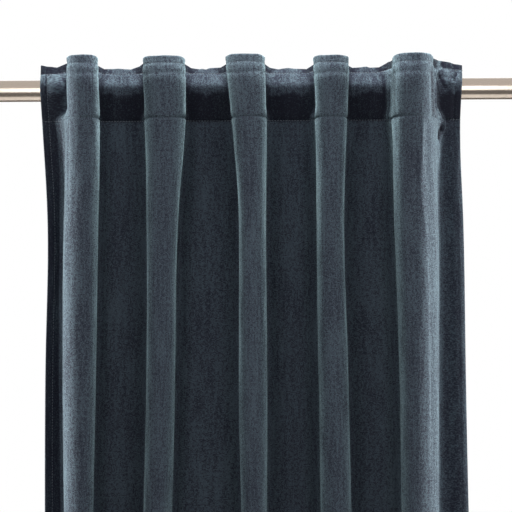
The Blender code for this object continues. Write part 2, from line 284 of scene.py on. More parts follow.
def feet_at(fold, below):
    """The left and right foot of a fold, where its walls turn into the cloth beside it."""
    middle, width = front_at(fold, below)
    flared = smooth_step((below - HEADING + FLARE_RISE) / FLARE_RISE)
    settled = 1 - np.exp(-max(below - HEADING, 0) / FLARE_DROP)

    def stand(side):
        above = fold["head_" + side] * (1 - flared) + fold["flare_" + side] * flared
        return above * (1 - settled) + fold["low_" + side] * settled

    return middle - width / 2 - stand("left"), middle + width / 2 + stand("right")


def stretches_at(below):
    """The left and right end of each stretch of cloth beside and between the folds."""
    ends = [edge_at("left", below)]
    for fold in FOLDS:
        ends.extend(feet_at(fold, below))
    ends.append(edge_at("right", below))
    return list(zip(ends[0::2], ends[1::2]))


def cloth_spent(index, below):
    """The cloth that a fold needs for its share of the stretches beside it and its round front."""
    stretches = stretches_at(below)
    before, after = stretches[index], stretches[index + 1]
    share_before = 1.0 if index == 0 else 0.5
    share_after = 1.0 if index == len(FOLDS) - 1 else 0.5
    flat = share_before * (before[1] - before[0]) + share_after * (after[1] - after[0])
    half_circle_extra = pi / 2 - 1
    return flat + half_circle_extra * front_at(FOLDS[index], below)[1]


def depth_at(index, below):
    """A fold's depth at this height: below the heading it holds the same cloth at every height."""
    if below <= HEADING:
        return FOLDS[index]["depth"]
    return FOLDS[index]["depth"] - (cloth_spent(index, below) - cloth_spent(index, HEADING)) / 2


def hang_line(below):
    """Where the cloth between folds stands at this distance down: its y and its z."""
    if below < HEADING:
        return spline(WRAP[:, 0], WRAP[:, 1:], [below])[0]
    swing = 1 - np.exp(-(below - HEADING) / SWING_LENGTH)
    return np.array([WRAP[-1, 1] + SWING_BACK * swing, HEADING_RISE - below])


def corner_at(below):
    return CORNER_TOP + (CORNER - CORNER_TOP) * smooth_step(below / CORNER_DROP)


def bow_at(below):
    belly = BELLY * smooth_step((below - BELLY_FROM) / BELLY_DROP)
    return BOW * smooth_step((below - HEADING) / BOW_DROP) - belly


for index in range(len(FOLDS)):
    depths = [round(float(depth_at(index, LEVELS[name])), 3) for name in ("seam", "mid", "low")]
    print("depth of column", index + 1, "at the seam, mid and low:", depths)

# %% Guide points and one row of the sheet


def fold_guides(index, below):
    """The guide points round one column of cloth, as rows of x, y, lift and frill."""
    fold = FOLDS[index]
    base = hang_line(below)[0]
    seam_base = WRAP[-1, 1]
    follow = 1.0 if below > HEADING else FRONT_FOLLOWS
    front = seam_base + follow * (base - seam_base) - depth_at(index, below)
    middle, width = front_at(fold, below)
    shoulder = front + FRONT_ROUND * width
    slant = fold["slant"] * smooth_step((below - HEADING) / SLANT_DROP)
    corner = corner_at(below)

    def wall_guides(foot, side, free, frill_turn, frill_foot):
        """From the cloth beside the fold, round the corner at its foot, to half way up its wall."""
        half_way_x = (foot + middle + side * width / 2) / 2
        half_way_y = (base - corner + shoulder) / 2
        foot_lift = LIFT["foot"] + (LIFT["wall"] - LIFT["foot"]) * free
        return [
            (foot + side * corner, base, free, frill_turn),
            (foot, base - corner, foot_lift, frill_foot),
            (half_way_x, half_way_y, LIFT["wall"], fold["rise"]),
        ]

    left_foot, right_foot = feet_at(fold, below)
    before, after = FRILLS[index], FRILLS[index + 1]
    guides = wall_guides(left_foot, -1, fold["free_left"], before["right_turn"], before["right_foot"])
    for degrees, place in FRONT_TURNS:
        turn = radians(degrees)
        x = middle - width / 2 * cos(turn)
        y = shoulder - FRONT_ROUND * width * sin(turn) - slant * cos(turn)
        guides.append((x, y, LIFT[place], fold["rise"]))
    wall = wall_guides(right_foot, 1, fold["free_right"], after["left_turn"], after["left_foot"])
    guides.extend(reversed(wall))
    return guides


def stretch_guides(number, below):
    """The guide points across one stretch of cloth beside or between the folds."""
    base = hang_line(below)[0]
    bow = bow_at(below)
    corner = corner_at(below)
    left, right = stretches_at(below)[number]
    frill_left, frill_middle, frill_right = (FRILLS[number][place] for place in ("left", "middle", "right"))
    if number == 0:
        curl = EDGE_CURL * smooth_step((below - HEADING) / CURL_DROP)
        hem = left + SIDE_HEM
        return [
            (left, base - curl, 0.0, frill_left),
            (hem, base - curl / 2, 0.0, frill_middle),
            ((hem + right - corner) / 2, base - curl / 6, 0.0, frill_right),
        ]
    if number == len(FOLDS):
        free = FOLDS[-1]["free_right"]
        hem = right - SIDE_HEM
        return [
            ((left + corner + hem) / 2, base, free * END_FREE["halfway"], frill_left),
            (hem, base - bow / 2, free * END_FREE["hem"], frill_middle),
            (right, base, free * END_FREE["edge"], frill_right),
        ]
    return [
        (left + 2 * corner, base - bow / 2, 0.0, frill_left),
        ((left + right) / 2, base - bow, 0.0, frill_middle),
        (right - 2 * corner, base - bow / 2, 0.0, frill_right),
    ]


def guides_at(below):
    """All the guide points of the plan at this height, from the left edge to the right one."""
    guides = stretch_guides(0, below)
    for index in range(len(FOLDS)):
        guides.extend(fold_guides(index, below))
        guides.extend(stretch_guides(index + 1, below))
    return np.array(guides)


def sheet_row(below, stations):
    """The cloth's face at this distance below the top edge, as x, y, z, lift at each station across."""
    guides = guides_at(below)
    knots = chord_knots(guides[:, :2])
    places = np.interp(stations, np.arange(len(guides)), knots)
    plan = spline(knots, guides[:, :2], places)
    base, low = hang_line(below)
    furthest_back = base + abs(bow_at(below))
    plan[:, 1] = np.minimum(plan[:, 1], furthest_back)
    high = HEADING_RISE - below
    lift = np.interp(places, knots, guides[:, 2])
    frill = eased(guides[:, 3], knots, places) * (1 - smooth_step(below / FRILL))
    return np.column_stack([plan, low + (high - low) * lift + frill, lift])


SEAM_KNOTS = chord_knots(guides_at(HEADING)[:, :2])
GUIDE_COUNT = len(SEAM_KNOTS)
print("guide points in one plan:", GUIDE_COUNT)

# %% [markdown]
# ## Where the fine sheet has its points
# The solid model needs only about a hundred points across. The fine sheet has more than three hundred,
# and it spends them where the eye looks: close together at the two ends, round the fronts of the
# columns, at a few sharp creases and down the heading, and further apart on the walls and down the
# long plain drop.

# %% Stations across and heights down
FOLD_GUIDES = 11
FIRST_FOLD_GUIDE = 3
GUIDES_PER_FOLD = 14
POINT_SPACING = {"end": 0.0013, "front": 0.0034, "wall": 0.0066, "between": 0.0034, "fine": 0.0016}
FINE_PLACES = ((1, 2), (1, 3), (5, 5), (5, 6), (5, 9))
FINE_DOWN_TO = 0.044
SHARP_FEET = ((5, 9), (5, 1), (1, 1))
RIM_STEPS = (0.0, 0.0002, 0.0006, 0.0011)
NEAR_CREASE = 0.0012
CLOSEST = 0.0009
FINE_ROW, HEADING_ROW, FIRST_ROW, LONGEST_ROW = 0.0016, 0.0027, 0.0030, 0.070
ROW_GROWTH = 1.055


def column_guide(column, place):
    """The number of a guide round a column: 0 and 10 beside its feet, 3 to 7 round its front."""
    return FIRST_FOLD_GUIDE + GUIDES_PER_FOLD * (column - 1) + place


def part_of_cloth(guide):
    """Which part of the cloth the gap after this guide belongs to."""
    if guide < FIRST_FOLD_GUIDE or guide >= GUIDE_COUNT - FIRST_FOLD_GUIDE - 1:
        return "end"
    column, place = divmod(guide - FIRST_FOLD_GUIDE, GUIDES_PER_FOLD)
    if (column + 1, place) in FINE_PLACES:
        return "fine"
    if 3 <= place < FOLD_GUIDES - 4:
        return "front"
    return "wall" if place < FOLD_GUIDES - 1 else "between"


def stations_across():
    """The stations, in guide units, and the flat distance of each from the left edge at the seam."""
    knots = SEAM_KNOTS
    flat = []
    for guide, (start, end) in enumerate(zip(knots, knots[1:])):
        steps = max(1, round((end - start) / POINT_SPACING[part_of_cloth(guide)]))
        flat.extend(np.linspace(start, end, steps, endpoint=False))
    rims = [*RIM_STEPS, *(knots[-1] - np.array(RIM_STEPS))]
    stitches = [SIDE_STITCH, knots[-1] - SIDE_STITCH]
    near = [place + offset for place in stitches for offset in (-NEAR_CREASE, 0, NEAR_CREASE)]
    for column, place in SHARP_FEET:
        foot = knots[column_guide(column, place)]
        near += [foot + steps * NEAR_CREASE for steps in (-2, -1, 0, 1, 2)]
    flat = np.array([place for place in flat if min(abs(place - other) for other in rims + near) > CLOSEST])
    flat = np.unique(np.concatenate([flat, rims, near]))
    return np.interp(flat, knots, np.arange(len(knots))), flat


def heights_down():
    """Distances below the top edge, close together at the stitch lines and growing down the drop."""
    groove = np.array((-0.0016, -0.0008, 0.0, 0.0008, 0.0016))
    heights = [*RIM_STEPS, 0.0022, 0.0040, 0.0058]
    heights += [*(FRILL + groove)]
    heights += [*np.arange(FRILL + 0.0036, FINE_DOWN_TO, FINE_ROW)]
    heights += [*np.arange(FINE_DOWN_TO, HEADING - FIRST_ROW, HEADING_ROW)]
    heights += [*(HEADING + groove)]
    place, step = HEADING + 0.0040, FIRST_ROW
    hem_line = DROP - BOTTOM_HEM
    while place < hem_line - step:
        heights.append(place)
        place += step
        step = min(step * ROW_GROWTH, LONGEST_ROW)
    heights += [*(hem_line + 2 * groove), hem_line + 0.035, hem_line + 0.070]
    heights += [*(DROP - np.array(RIM_STEPS))]
    return np.unique(heights)


STATIONS, ACROSS = stations_across()
BELOW = heights_down()
print("points across:", len(STATIONS), "down:", len(BELOW), "flat width:", round(float(ACROSS[-1]), 3))

# %% [markdown]
# ## Creases
# Velvet is heavy, so it shows few creases, and they are soft: a groove where a seam is sewn, short
# gathers beside it, a crumple where the heading is bunched at the two ends, and long shallow waves down
# the drop. Each is a trough or a ridge, added along the cloth's normal in its own size. Sculpting them
# would also work, but a table can be read and changed.

# %% Noise for the uneven parts


def soft_noise(across, down, seed):
    """Smooth noise between -1 and 1: random values on a lattice of unit squares, eased between them."""
    random = np.random.default_rng(seed).uniform(-1, 1, (256, 256))
    column, row = np.floor(across).astype(int), np.floor(down).astype(int)
    x, y = smooth_step(across - column), smooth_step(down - row)
    corner = [[random[(row + i) % 256, (column + j) % 256] for j in (0, 1)] for i in (0, 1)]
    upper = corner[0][0] * (1 - x) + corner[0][1] * x
    lower = corner[1][0] * (1 - x) + corner[1][1] * x
    return upper * (1 - y) + lower * y


def bell(distance, width):
    return np.exp(-((distance / width) ** 2))


print("noise at one point:", float(soft_noise(np.array(0.5), np.array(0.5), 3)))

# %% Table of the creases
# Each crease is a line on the flat cloth. After a guide point, each row gives how far across from it
# and how far below the top edge the line starts and ends, then its half width and its height, which
# is above zero for a ridge and below zero for a trough. All of these are in millimetres.
LEFT_EDGE = 0
RIGHT_EDGE = GUIDE_COUNT - 1
CREASES = (
    # The crumpled left end of the heading.
    (LEFT_EDGE, (
        (4, 12, 5, 30, 1.6, 1.4),
        (7.2, 11, 7.4, 42, 1, -2),
        (12.8, 11, 12.5, 44, 2.2, 2.4),
        (17, 12, 15.8, 36, 1, -2.2),
        (21.5, 13, 17.8, 46, 1.3, 2.4),
        (22.5, 25.5, 28, 17, 1, 1.2),
        (22, 30, 28.5, 20.5, 1, 1.2),
        (21.5, 34.5, 28.5, 24.5, 1, 1.2),
        (22.5, 38, 29, 29, 1, 1),
        (4, 30, 9, 62, 3, -0.8),
    )),
    # The right end of the heading, with the gathers of its frill.
    (RIGHT_EDGE, (
        (-3, 10, -7, 30, 1.6, 1.6),
        (-7, 10, -10, 28, 1.2, -1.6),
        (-17, 12, -11, 34, 1.6, 1.8),
        (-21, 14, -15, 38, 1.2, -1.6),
        (-27, 16, -19, 44, 1.6, 1.6),
        (-11, 17, -5, 26, 1.2, 1.2),
        (-5.5, 2, -5, 9, 1.4, 1.2),
        (-9.5, 1, -10, 9, 1.2, -1.4),
        (-14, 1, -13.5, 9, 1.4, 1.4),
        (-19, 1, -18, 9, 1.2, -1.4),
    )),
    # The sharp line of the last column's two feet within the heading.
    (column_guide(5, 9), ((0, 12, 0, 75, 1.4, 1.4),)),
    (column_guide(5, 1), ((0, 12, 0, 75, 1.4, 1.2),)),
    # The right side of the last column's front, which is drawn in within the heading.
    (column_guide(5, 7), ((-1, 22, -1, 74, 5, -3.2),)),
    # The small pouch at the right foot of the last column, just below the seam.
    (RIGHT_EDGE, (
        (-27, 78, -20, 81, 1.6, 2.4),
        (-20, 81, -19.5, 91, 1.6, 2.4),
        (-19.5, 91, -25, 101, 1.6, 2),
        (-25.5, 86, -24, 95, 2.6, -2.4),
        (-30, 92, -29, 104, 2.4, -2.6),
        (-31, 108, -29, 126, 4, 2.2),
    )),
    # The flattened right shoulder of the last column, and the fold line on its left.
    (column_guide(5, 5), (
        (17, 88, 14, 190, 7, -3.2),
        (14, 190, 17, 520, 7, -2.2),
        (9, 84, 3.5, 168, 2.2, 1.1),
        (3.5, 168, 9, 240, 2.4, 1),
        (9, 240, 9, 520, 3, 0.7),
        (-3, 96, -4, 330, 5, -1),
    )),
    # The strip at the left foot of the first column, with the ridge line beside it.
    (column_guide(1, 3), (
        (-13, 70, -13, 150, 8, -3),
        (0.5, 70, 4, 180, 2, 1.5),
        (4, 180, 7, 330, 3.5, 0.7),
    )),
    # Long shallow creases on the fronts.
    (column_guide(1, 4), ((-2, 80, 3, 190, 3, 0.9),)),
    (column_guide(1, 5), ((4, 150, 2, 420, 6, -0.8),)),
    (column_guide(2, 4), ((2, 110, 6, 380, 5, 0.8),)),
    (column_guide(3, 5), ((0, 130, 5, 460, 6, -0.8),)),
    (column_guide(4, 4), ((3, 90, 1, 330, 4, 0.7),)),
    (column_guide(4, 6), ((-3, 160, -1, 500, 5, -0.7),)),
    (column_guide(5, 4), ((3, 120, 6, 520, 6, -0.9),)),
)
MILLIMETRE = 0.001


def crease_relief(across, below):
    """The height of all the creases of the table at each point of the flat cloth."""
    relief = np.zeros(np.broadcast(across, below).shape)
    rows = [(guide, np.array(crease) * MILLIMETRE) for guide, creases in CREASES for crease in creases]
    for guide, (across_1, below_1, across_2, below_2, half_width, height) in rows:
        start = np.array((SEAM_KNOTS[guide] + across_1, below_1))
        way = np.array((SEAM_KNOTS[guide] + across_2, below_2)) - start
        along = ((across - start[0]) * way[0] + (below - start[1]) * way[1]) / (way @ way)
        inside = np.clip(along, 0, 1)
        aside = np.hypot(across - start[0] - inside * way[0], below - start[1] - inside * way[1])
        soft_ends = np.sqrt(np.sin(pi * np.clip(inside * 0.9 + 0.05, 0, 1)))
        relief = relief + height * soft_ends * bell(aside, half_width)
    return relief


# %% Relief of the seams and of the hanging cloth
GROOVE = 0.0011
GROOVE_WIDTH = 0.0013
EDGE_CREASE = 0.0055
EDGE_CREASE_WIDTH = 0.0009
SECOND_CREASE = 0.0225
SECOND_DEPTH = 0.0007
SECOND_WIDTH = 0.0028
PUFF = 0.0004
FRILL_WAVE = 0.0006
PUCKER = 0.00035
WAVE = 0.0010
RIPPLE = 0.00035
PULL = 0.00022
SIDE_GROOVE = 0.0006
SIDE_GROOVE_WIDTH = 0.0014
HEM_GROOVE = 0.0008
HEM_GROOVE_WIDTH = 0.003
print("groove of a seam in millimetres:", GROOVE / MILLIMETRE)


def seam_relief(across, below, lift):
    """The grooves of the stitch lines, the puffed heading between them and the gathers beside them."""
    on_column = smooth_step((lift - 0.3) / 0.3)
    upper = -0.5 * GROOVE * (0.6 + 0.4 * on_column) * bell(below - FRILL, GROOVE_WIDTH)
    upper = upper - 0.4 * GROOVE * on_column * bell(below - EDGE_CREASE, EDGE_CREASE_WIDTH)
    lower = -GROOVE * (0.35 + 0.95 * on_column) * bell(below - HEADING, GROOVE_WIDTH)
    wander = 0.0012 * soft_noise(across / 0.02, below * 0, 3)
    second = -SECOND_DEPTH * on_column * bell(below - SECOND_CREASE - wander, SECOND_WIDTH)
    inside = smooth_step((below - FRILL) / 0.006) * smooth_step((HEADING - below) / 0.008)
    gathers = soft_noise(across / 0.0062, below / 0.03, 11)
    under_seam = np.where(below > HEADING, np.exp(-(below - HEADING) / 0.016), 0)
    over_seam = np.where(below <= HEADING, np.exp(-(HEADING - below) / 0.008), 0)
    under_frill = np.where(below > FRILL, np.exp(-(below - FRILL) / 0.010), 0)
    ruffle = np.where(below <= FRILL, 1 - below / FRILL, 0)
    frill_wave = FRILL_WAVE * ruffle * soft_noise(across / 0.010, below * 0, 5)
    pucker = PUCKER * gathers * (under_seam + 0.6 * over_seam + 0.8 * under_frill)
    return upper + lower + second + PUFF * inside + frill_wave + pucker


def hanging_relief(across, below, lift):
    """Long shallow waves down the drop, and the fine uneven pull of the cloth over the rod."""
    hanging = smooth_step((below - HEADING) / 0.10)
    waves = WAVE * soft_noise(across / 0.030, below / 0.28, 17) * hanging
    ripples = RIPPLE * soft_noise(across / 0.012, below / 0.09, 23) * hanging
    between = 1 - smooth_step(lift / 0.3)
    over_rod = between * smooth_step((below - FRILL) / 0.01) * smooth_step((0.060 - below) / 0.02)
    pulls = PULL * soft_noise(across / 0.0038, below / 0.018, 31) * over_rod
    return waves + ripples + pulls


def hem_relief(across, below):
    """The shallow grooves of the side hems' and the bottom hem's stitch lines."""
    from_edge = np.minimum(across, ACROSS[-1] - across)
    side = -SIDE_GROOVE * bell(from_edge - SIDE_STITCH, SIDE_GROOVE_WIDTH) * (below > FRILL)
    bottom = -HEM_GROOVE * bell(below - (DROP - BOTTOM_HEM), HEM_GROOVE_WIDTH)
    return side + bottom


# %% [markdown]
# ## The sheet itself
# Every point of the face is worked out from the plan at its height, moved by the relief along the
# cloth's normal, and given a partner behind it. Where the cloth is doubled the two are 3 mm apart and
# elsewhere 2 mm. A Solidify modifier would give sharp square rims, so the two faces are brought
# together here in a half circle, which is how a folded edge of velvet looks.

# %% The face and its normals


def face_points():
    """The face of the cloth as rows of points, with how far each point has let go of the rod."""
    rows = np.array([sheet_row(float(below), STATIONS) for below in BELOW])
    return rows[:, :, :3], rows[:, :, 3]


def face_normals(points):
    """Unit normals that point to the room, from the directions across and down the sheet."""
    across = np.gradient(points, axis=1)
    down = np.gradient(points, axis=0)
    normals = np.cross(down, across)
    return normals / np.linalg.norm(normals, axis=2, keepdims=True)


def cloth_face():
    """The finished face with its creases, its normals, and how far it has let go of the rod."""
    points, lift = face_points()
    across, below = ACROSS[None, :], BELOW[:, None]
    relief = seam_relief(across, below, lift) + hanging_relief(across, below, lift)
    relief = relief + hem_relief(across, below) + crease_relief(across, below)
    points = points + face_normals(points) * relief[:, :, None]
    return points, face_normals(points), lift


FACE, NORMALS, LIFTED = cloth_face()
print("lowest and highest point of the face:", FACE[:, :, 2].min(), FACE[:, :, 2].max())

# %% A closed shell from a face


def rim_distances(across, below):
    """How far each point of the flat cloth lies from the nearest edge."""
    from_side = np.minimum(across, across[-1] - across)[None, :]
    from_end = np.minimum(below, below[-1] - below)[:, None]
    return np.minimum(from_side, from_end)


def cloth_shell(name, face, normals, thickness, across, below):
    """A closed sheet: the face, its back and rims in a half circle, with a UV map in flat metres.

    The back's faces come second, so that they can take another finish.
    """
    rows, columns = face.shape[:2]
    half = thickness / 2
    inside = np.clip(rim_distances(across, below) / half, 0, 1)
    swell = half * np.sqrt(1 - (1 - inside) ** 2)
    middle = face - normals * half[:, :, None]
    front = middle + normals * swell[:, :, None]
    back = middle - normals * swell[:, :, None]
    front_index = np.arange(rows * columns).reshape(rows, columns)
    back_index = front_index.copy()
    back_index[1:-1, 1:-1] = rows * columns + np.arange((rows - 2) * (columns - 2)).reshape(
        rows - 2, columns - 2
    )
    points = np.concatenate([front.reshape(-1, 3), back[1:-1, 1:-1].reshape(-1, 3)])

    def quads(index, turned):
        corners = [index[:-1, :-1], index[1:, :-1], index[1:, 1:], index[:-1, 1:]]
        if turned:
            corners.reverse()
        return np.stack([corner.ravel() for corner in corners], axis=1)

    faces = np.concatenate([quads(front_index, False), quads(back_index, True)])
    mesh = bpy.data.meshes.new(name)
    mesh.from_pydata(points.tolist(), [], faces.tolist())
    flat = np.stack(np.broadcast_arrays(across[None, :], -below[:, None]), axis=2)
    flat = np.concatenate([flat.reshape(-1, 2), flat[1:-1, 1:-1].reshape(-1, 2)])
    corner_points = np.empty(len(mesh.loops), dtype=np.int32)
    mesh.loops.foreach_get("vertex_index", corner_points)
    layer = mesh.uv_layers.new(name="flat cloth in metres")
    layer.uv.foreach_set("vector", flat[corner_points].astype(np.float32).ravel())
    mesh.shade_smooth()
    return mesh


def add_piece(name, mesh):
    piece = bpy.data.objects.new(name, mesh)
    bpy.context.scene.collection.objects.link(piece)
    return piece


def add_sheet(name, face, normals, thickness, across, below):
    return add_piece(name, cloth_shell(name, face, normals, thickness, across, below))


def triangle_count(piece):
    return sum(len(face.vertices) - 2 for face in piece.data.polygons)


# %% [markdown]
# ## Painted shade on the velvet
# Shade is painted into the velvet where the lamps leave it dark: on the lower half and the top of
# the heading between two columns and beside the columns, on the frill beside the columns, on some walls
# of the heading, in its two gathered ends and their hollows and on the plain cloth beside the first and
# the last column. That is kept as one value at each point of the cloth, and the velvet's material reads it
# by its name.

# %% Painted shade
PAINTED_SHADE_FROM = 0.0405
PAINTED_SHADE_SHARE = {
    "heading": 0.72, "frill": 0.90, "frill middle": 0.05, "wrap top": 0.32, "wrap sides": 0.55,
    "left end": 0.45, "first stretch": 0.60, "last stretch": 0.20, "shaded_hollow": 0.95,
}
PAINTED_SHADE_FADE_ACROSS = 0.3
PAINTED_SHADE_FADE_DOWN = 0.025
# The shaded walls: the column, the guides and the distances below the top edge in millimetres
# between which the shade lies, and its share.
PAINTED_SHADE_WALLS = (
    (5, 1.1, 3.0, 6, 90, 0.55),
    (5, 6.4, 8.9, 6, 90, 0.55),
    (5, 9.1, 10.4, 6, 90, 0.5),
    (5, 7.8, 10.6, 80, 103, 0.6),
    (1, 7.4, 9.6, 10, 84, 0.6),
    (2, 7.4, 9.6, 10, 84, 0.5),
    (1, 0.4, 2.2, 60, 140, 0.35),
)


def painted_shade_at(lift):
    """How much shade is painted at each point of the face, from 0 to 1."""
    across, below, station = ACROSS[None, :], BELOW[:, None], STATIONS[None, :]
    first = station < FIRST_FOLD_GUIDE
    last = station > column_guide(len(FOLDS), FOLD_GUIDES - 1)
    between = np.where(last, 1.0, 1 - smooth_step((lift - 0.05) / 0.4))
    ragged = 0.0035 * soft_noise(across / 0.0032, 0 * across, 41)
    ragged = ragged + 0.0030 * soft_noise(across / 0.011, 0 * across, 43)
    # Painted shade over the rod: on the heading's lower half, its top, its sides beside the columns and its
    # left end, and on the frill.
    lower = PAINTED_SHADE_SHARE["heading"] * smooth_step((below - PAINTED_SHADE_FROM - ragged) / 0.005)
    top = PAINTED_SHADE_SHARE["wrap top"] * (1 - smooth_step((below - 0.014 - ragged) / 0.012))
    from_middle = np.abs((station - FIRST_FOLD_GUIDE) % GUIDES_PER_FOLD - FOLD_GUIDES - 1) / 2
    sides = PAINTED_SHADE_SHARE["wrap sides"] * smooth_step((from_middle - 0.45) / 0.55)
    sides = np.where(first | last, 0.0, sides)
    from_end = np.where(first | last, 1.0, smooth_step((from_middle - 0.35) / 0.6))
    frill_share = PAINTED_SHADE_SHARE["frill middle"] * (1 - from_end) + PAINTED_SHADE_SHARE["frill"] * from_end
    frill = frill_share * (1 - smooth_step((below - FRILL + 0.001) / 0.002))
    end = PAINTED_SHADE_SHARE["left end"] * (1 - smooth_step((across - 0.007) / 0.004))
    over_rod = np.maximum.reduce(np.broadcast_arrays(lower, top, sides, end))
    round_foot = np.where(last, 1.0, 1 - smooth_step((lift - 0.66) / 0.10))
    painted_shade = np.maximum(between * over_rod, round_foot * frill)
    painted_shade = painted_shade * (1 - smooth_step((below - HEADING) / STEP_WIDTH))
    # Painted shade on some walls of the heading.
    for column, start, finish, high, low, share in PAINTED_SHADE_WALLS:
        start, finish = column_guide(column, start), column_guide(column, finish)
        inside = window(station, start, finish, PAINTED_SHADE_FADE_ACROSS)
        inside = inside * window(below, high * MILLIMETRE, low * MILLIMETRE, PAINTED_SHADE_FADE_DOWN)
        painted_shade = np.maximum(painted_shade, share * inside)
    # Painted shade on the plain cloth beside the first and the last column, and in the hollows of the
    # creases at the two ends and in the pouch.
    panels = PAINTED_SHADE_SHARE["first stretch"] * first + PAINTED_SHADE_SHARE["last stretch"] * last
    shaded_hollow = PAINTED_SHADE_SHARE["shaded_hollow"] * np.clip(-crease_relief(across, below) / 0.0012, 0, 1)
    pouch = (station > column_guide(len(FOLDS), 8.5)) & (below < 0.11)
    shaded_hollow = shaded_hollow * (((first | last) & (below < HEADING)) | pouch)
    return np.maximum.reduce([painted_shade, shaded_hollow, panels * (below > HEADING)])


def keep_painted_shade(piece, painted_shade):
    """Stores the values on a shell's points: first the face's, then the back's inner ones."""
    layer = piece.data.attributes.new("painted shade", "FLOAT", "POINT")
    values = np.concatenate([painted_shade.ravel(), painted_shade[1:-1, 1:-1].ravel()])
    layer.data.foreach_set("value", values.astype(np.float32))


# The painted shade at each point of the face; the print counts the points with more than half of it.
PAINTED_SHADE = painted_shade_at(LIFTED)
print("points whose pile lies down:", int((PAINTED_SHADE > 0.5).sum()), "of", PAINTED_SHADE.size)

# %% The curtain's cloth


def panel_thickness():
    """The cloth's thickness at each point: doubled in the heading and in the hems."""
    from_side = np.minimum(ACROSS, ACROSS[-1] - ACROSS)
    hem_line = DROP - BOTTOM_HEM
    in_side = smooth_step((SIDE_STITCH + STEP_WIDTH - from_side) / STEP_WIDTH)[None, :]
    in_heading = smooth_step((HEADING + STEP_WIDTH - BELOW) / STEP_WIDTH)[:, None]
    in_bottom = smooth_step((BELOW - hem_line + STEP_WIDTH) / STEP_WIDTH)[:, None]
    doubled = np.maximum(in_side, np.maximum(in_heading, in_bottom))
    return CLOTH_THICK + (HEM_THICK - CLOTH_THICK) * doubled


curtain_cloth = add_sheet("curtain_cloth", FACE, NORMALS, panel_thickness(), ACROSS, BELOW)
keep_painted_shade(curtain_cloth, PAINTED_SHADE)
print("triangles in the curtain's cloth:", triangle_count(curtain_cloth))

# %% [markdown]
# ## The back tabs
# Behind each stretch of the heading that follows the rod, a short strip of the same velvet is sewn on at
# the upper stitch line and at the seam, and the rod slides through between. The strips are the same
# kind of shell as the curtain, along a line that leaves the heading, goes round the rod and comes back.

# %% Tabs


def tab_path(steps):
    """A back tab's middle line, as y and z, from the upper stitch line round the rod to the seam."""
    standoff = HEM_THICK + GAP + TAB_THICK / 2
    reach = ROD_DIAMETER / 2 + GAP + TAB_THICK / 2

    def behind_cloth(below):
        above, under = hang_line(below - STEP_WIDTH / 2), hang_line(below + STEP_WIDTH / 2)
        down = (under - above) / np.linalg.norm(under - above)
        return hang_line(below) + standoff * np.array([-down[1], down[0]])

    def round_rod(degrees, clear):
        turn = radians(degrees)
        return (reach + clear) * np.array([cos(turn), sin(turn)])

    guides = [
        behind_cloth(FRILL + TAB_SEAM),
        behind_cloth(FRILL + TAB_SEAM / 4),
        *(round_rod(degrees, clear) for degrees, clear in TAB_TURNS),
        behind_cloth(HEADING - TAB_SEAM) + np.array([TAB_SLACK, 0.0]),
        behind_cloth(HEADING - STEP_WIDTH),
    ]
    knots = chord_knots(guides)
    return spline(knots, guides, np.linspace(0, knots[-1], steps))


def tab_centres():
    """The middle of each stretch of cloth that follows the rod, or just inside a side edge."""
    stretches = stretches_at(HEADING / 2)
    centres = [(left + right) / 2 for left, right in stretches]
    from_edge = STEP_WIDTH + TAB_WIDTH / 2
    centres[0] = stretches[0][0] + from_edge
    centres[-1] = stretches[-1][1] - from_edge
    return centres


TAB_ROWS = 64
TAB_COLUMNS = 25
TAB_INSIDE = 0.002


def tab_grid(centre):
    """The outer face of a tab as rows of points, its normals, and its flat distances."""
    path = tab_path(TAB_ROWS)
    down = chord_knots(path)
    inner = np.linspace(TAB_INSIDE, TAB_WIDTH - TAB_INSIDE, TAB_COLUMNS)
    across = np.unique([*RIM_STEPS, *inner, *(TAB_WIDTH - np.array(RIM_STEPS))])
    way = np.gradient(path, axis=0)
    way = way / np.linalg.norm(way, axis=1, keepdims=True)
    out = np.column_stack([np.zeros(len(path)), -way[:, 1], way[:, 0]])
    middle = np.column_stack([np.zeros(len(path)), path])
    place = middle[:, None, :] + np.stack([centre + TAB_WIDTH / 2 - across, 0 * across, 0 * across], 1)
    normals = np.broadcast_to(out[:, None, :], place.shape)
    return place + normals * TAB_THICK / 2, normals, across, down


def add_tab(number, centre):
    face, normals, across, down = tab_grid(centre)
    return add_sheet(f"tab_strip_{number}", face, normals, np.full(face.shape[:2], TAB_THICK), across, down)


tab_strips = [add_tab(number, centre) for number, centre in enumerate(tab_centres(), start=1)]
TAB_LENGTH = float(chord_knots(tab_path(TAB_ROWS))[-1])
print("tabs:", len(tab_strips), "length of a tab:", round(TAB_LENGTH, 4))

# %% [markdown]
# ## The rod
# A plain steel tube of 28 mm with a cap pushed in at each end. A turned shape is a profile swept round
# an axis, so the profile's few points are given as distances along the rod and from its axis.

# %% Rod
ROD_SIDES = 96
ROD_WALL = 0.0012
CAP_GROOVE = 0.0005
RIM_ROUND = 0.0006
END_LENGTH = 0.02


def rod_profile(half_length):
    """One end of the rod, from the middle of its cap out to its skin."""
    radius = ROD_DIAMETER / 2
    inner = radius - ROD_WALL
    return [
        (half_length, 0.0),
        (half_length, inner - CAP_GROOVE),
        (half_length - CAP_GROOVE, inner - CAP_GROOVE / 2),
        (half_length, inner),
        (half_length, radius - RIM_ROUND),
        (half_length - RIM_ROUND * (1 - cos(pi / 4)), radius - RIM_ROUND * (1 - sin(pi / 4))),
        (half_length - RIM_ROUND, radius),
        (half_length - END_LENGTH, radius),
    ]


